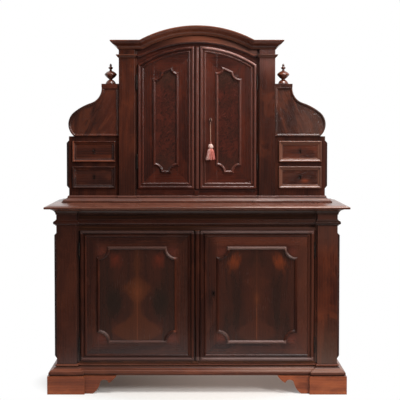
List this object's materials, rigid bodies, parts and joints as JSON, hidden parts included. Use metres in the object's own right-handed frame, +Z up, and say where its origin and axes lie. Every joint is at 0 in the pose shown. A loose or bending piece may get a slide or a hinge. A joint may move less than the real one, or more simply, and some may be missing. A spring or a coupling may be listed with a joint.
{
  "type": "cupboard with superstructure",
  "caption": "Baroque cupboard with panelled doors below a worktop, a set-back arched cabinet above, and scrolled drawer wings beside it.",
  "frame": {"origin": "centre of the footprint, on the floor", "axes": "+Z up, front of the cupboard faces -Y, +X to the right seen from the front"},
  "size_m": [1.681, 0.58, 2.057],
  "materials": {
    "walnut_case": "waxed dark walnut, satin",
    "walnut_moulding": "waxed walnut mouldings, satin with rubbed edges",
    "walnut_feet": "worn lighter walnut, satin",
    "flame_veneer": "bookmatched figured walnut veneer, satin",
    "burl_veneer": "walnut burl veneer, satin",
    "secondary_wood": "unfinished poplar and pine, dull",
    "iron": "aged wrought iron, semi-matt",
    "cord_silk": "twisted silk cord",
    "tassel_silk": "silk tassel"
  },
  "bodies": {
    "root": {"arched_head": "walnut_case", "base_back": "secondary_wood", "base_moulding": "walnut_moulding", "base_pilaster_left": "walnut_case", "base_pilaster_right": "walnut_case", "base_rails": "walnut_case", "base_shelves": "secondary_wood", "base_side_left": "walnut_case", "base_side_right": "walnut_case", "case_hinges": "iron", "cornice": "walnut_moulding", "finial_left": "walnut_moulding", "finial_right": "walnut_moulding", "foot_front_left": "walnut_feet", "foot_front_right": "walnut_feet", "hinge_pins": "iron", "plinth_moulding": "walnut_moulding", "rear_feet": "walnut_feet", "upper_back": "secondary_wood", "upper_bottom_rail": "walnut_case", "upper_pilaster_left": "walnut_case", "upper_pilaster_right": "walnut_case", "upper_roof": "secondary_wood", "upper_shelves": "secondary_wood", "upper_side_left": "walnut_case", "upper_side_right": "walnut_case", "waist_moulding": "walnut_moulding", "wing_case_left": "walnut_case", "wing_case_right": "walnut_case", "wing_scroll_left": "walnut_case", "wing_scroll_right": "walnut_case", "worktop": "walnut_case"},
    "lower_left_door": {"lower_door_frame_left": "walnut_case", "lower_door_panel_left": "flame_veneer", "lower_door_moulding_left": "walnut_moulding", "lower_door_metal_left": "iron"},
    "lower_left_drawer": {"lower_drawer_front_left": "walnut_case", "lower_drawer_box_left": "secondary_wood"},
    "lower_right_door": {"lower_door_frame_right": "walnut_case", "lower_door_panel_right": "flame_veneer", "lower_door_moulding_right": "walnut_moulding", "lower_door_metal_right": "iron"},
    "lower_right_drawer": {"lower_drawer_front_right": "walnut_case", "lower_drawer_box_right": "secondary_wood"},
    "upper_left_door": {"upper_door_frame_left": "walnut_case", "upper_door_panel_left": "burl_veneer", "upper_door_moulding_left": "walnut_moulding", "upper_door_metal_left": "iron"},
    "upper_left_drawer": {"upper_drawer_front_left": "walnut_case", "upper_drawer_box_left": "secondary_wood"},
    "upper_right_door": {"upper_door_frame_right": "walnut_case", "upper_door_panel_right": "burl_veneer", "upper_door_moulding_right": "walnut_moulding", "upper_door_metal_right": "iron", "key_cord": "cord_silk", "key_tassel": "tassel_silk"},
    "upper_right_drawer": {"upper_drawer_front_right": "walnut_case", "upper_drawer_box_right": "secondary_wood"},
    "key": {"key": "iron"},
    "lock_bolt": {"lock_bolt": "iron"}
  },
  "joints": [
    {"name": "lower_left_door_hinge", "type": "hinge", "parent": "root", "child": "lower_left_door", "pos_m": [-0.655, -0.2165, 1], "axis": [0, 0, -1], "range_deg": [0, 95]},
    {"name": "lower_right_door_hinge", "type": "hinge", "parent": "root", "child": "lower_right_door", "pos_m": [0.655, -0.2165, 1], "axis": [0, 0, 1], "range_deg": [0, 95]},
    {"name": "upper_left_door_hinge", "type": "hinge", "parent": "root", "child": "upper_left_door", "pos_m": [-0.347, 0.0035, 1], "axis": [0, 0, -1], "range_deg": [0, 95]},
    {"name": "upper_right_door_hinge", "type": "hinge", "parent": "root", "child": "upper_right_door", "pos_m": [0.347, 0.0035, 1], "axis": [0, 0, 1], "range_deg": [0, 95]},
    {"name": "lower_left_drawer_slide", "type": "slide", "parent": "root", "child": "lower_left_drawer", "axis": [0, -1, 0], "range_m": [0, 0.19]},
    {"name": "lower_right_drawer_slide", "type": "slide", "parent": "root", "child": "lower_right_drawer", "axis": [0, -1, 0], "range_m": [0, 0.19]},
    {"name": "upper_left_drawer_slide", "type": "slide", "parent": "root", "child": "upper_left_drawer", "axis": [0, -1, 0], "range_m": [0, 0.19]},
    {"name": "upper_right_drawer_slide", "type": "slide", "parent": "root", "child": "upper_right_drawer", "axis": [0, -1, 0], "range_m": [0, 0.19]},
    {"name": "key_turn", "type": "hinge", "parent": "upper_right_door", "child": "key", "pos_m": [0.078, 0, 1.521], "axis": [0, 1, 0], "range_deg": [0, 180]},
    {"name": "lock_bolt_throw", "type": "slide", "parent": "upper_right_door", "child": "lock_bolt", "axis": [-1, 0, 0], "range_m": [0, 0.012]}
  ],
  "couplings": [
    {"joint": "key_turn", "follows": "lock_bolt_throw", "rad_per_m": 261.79}
  ]
}
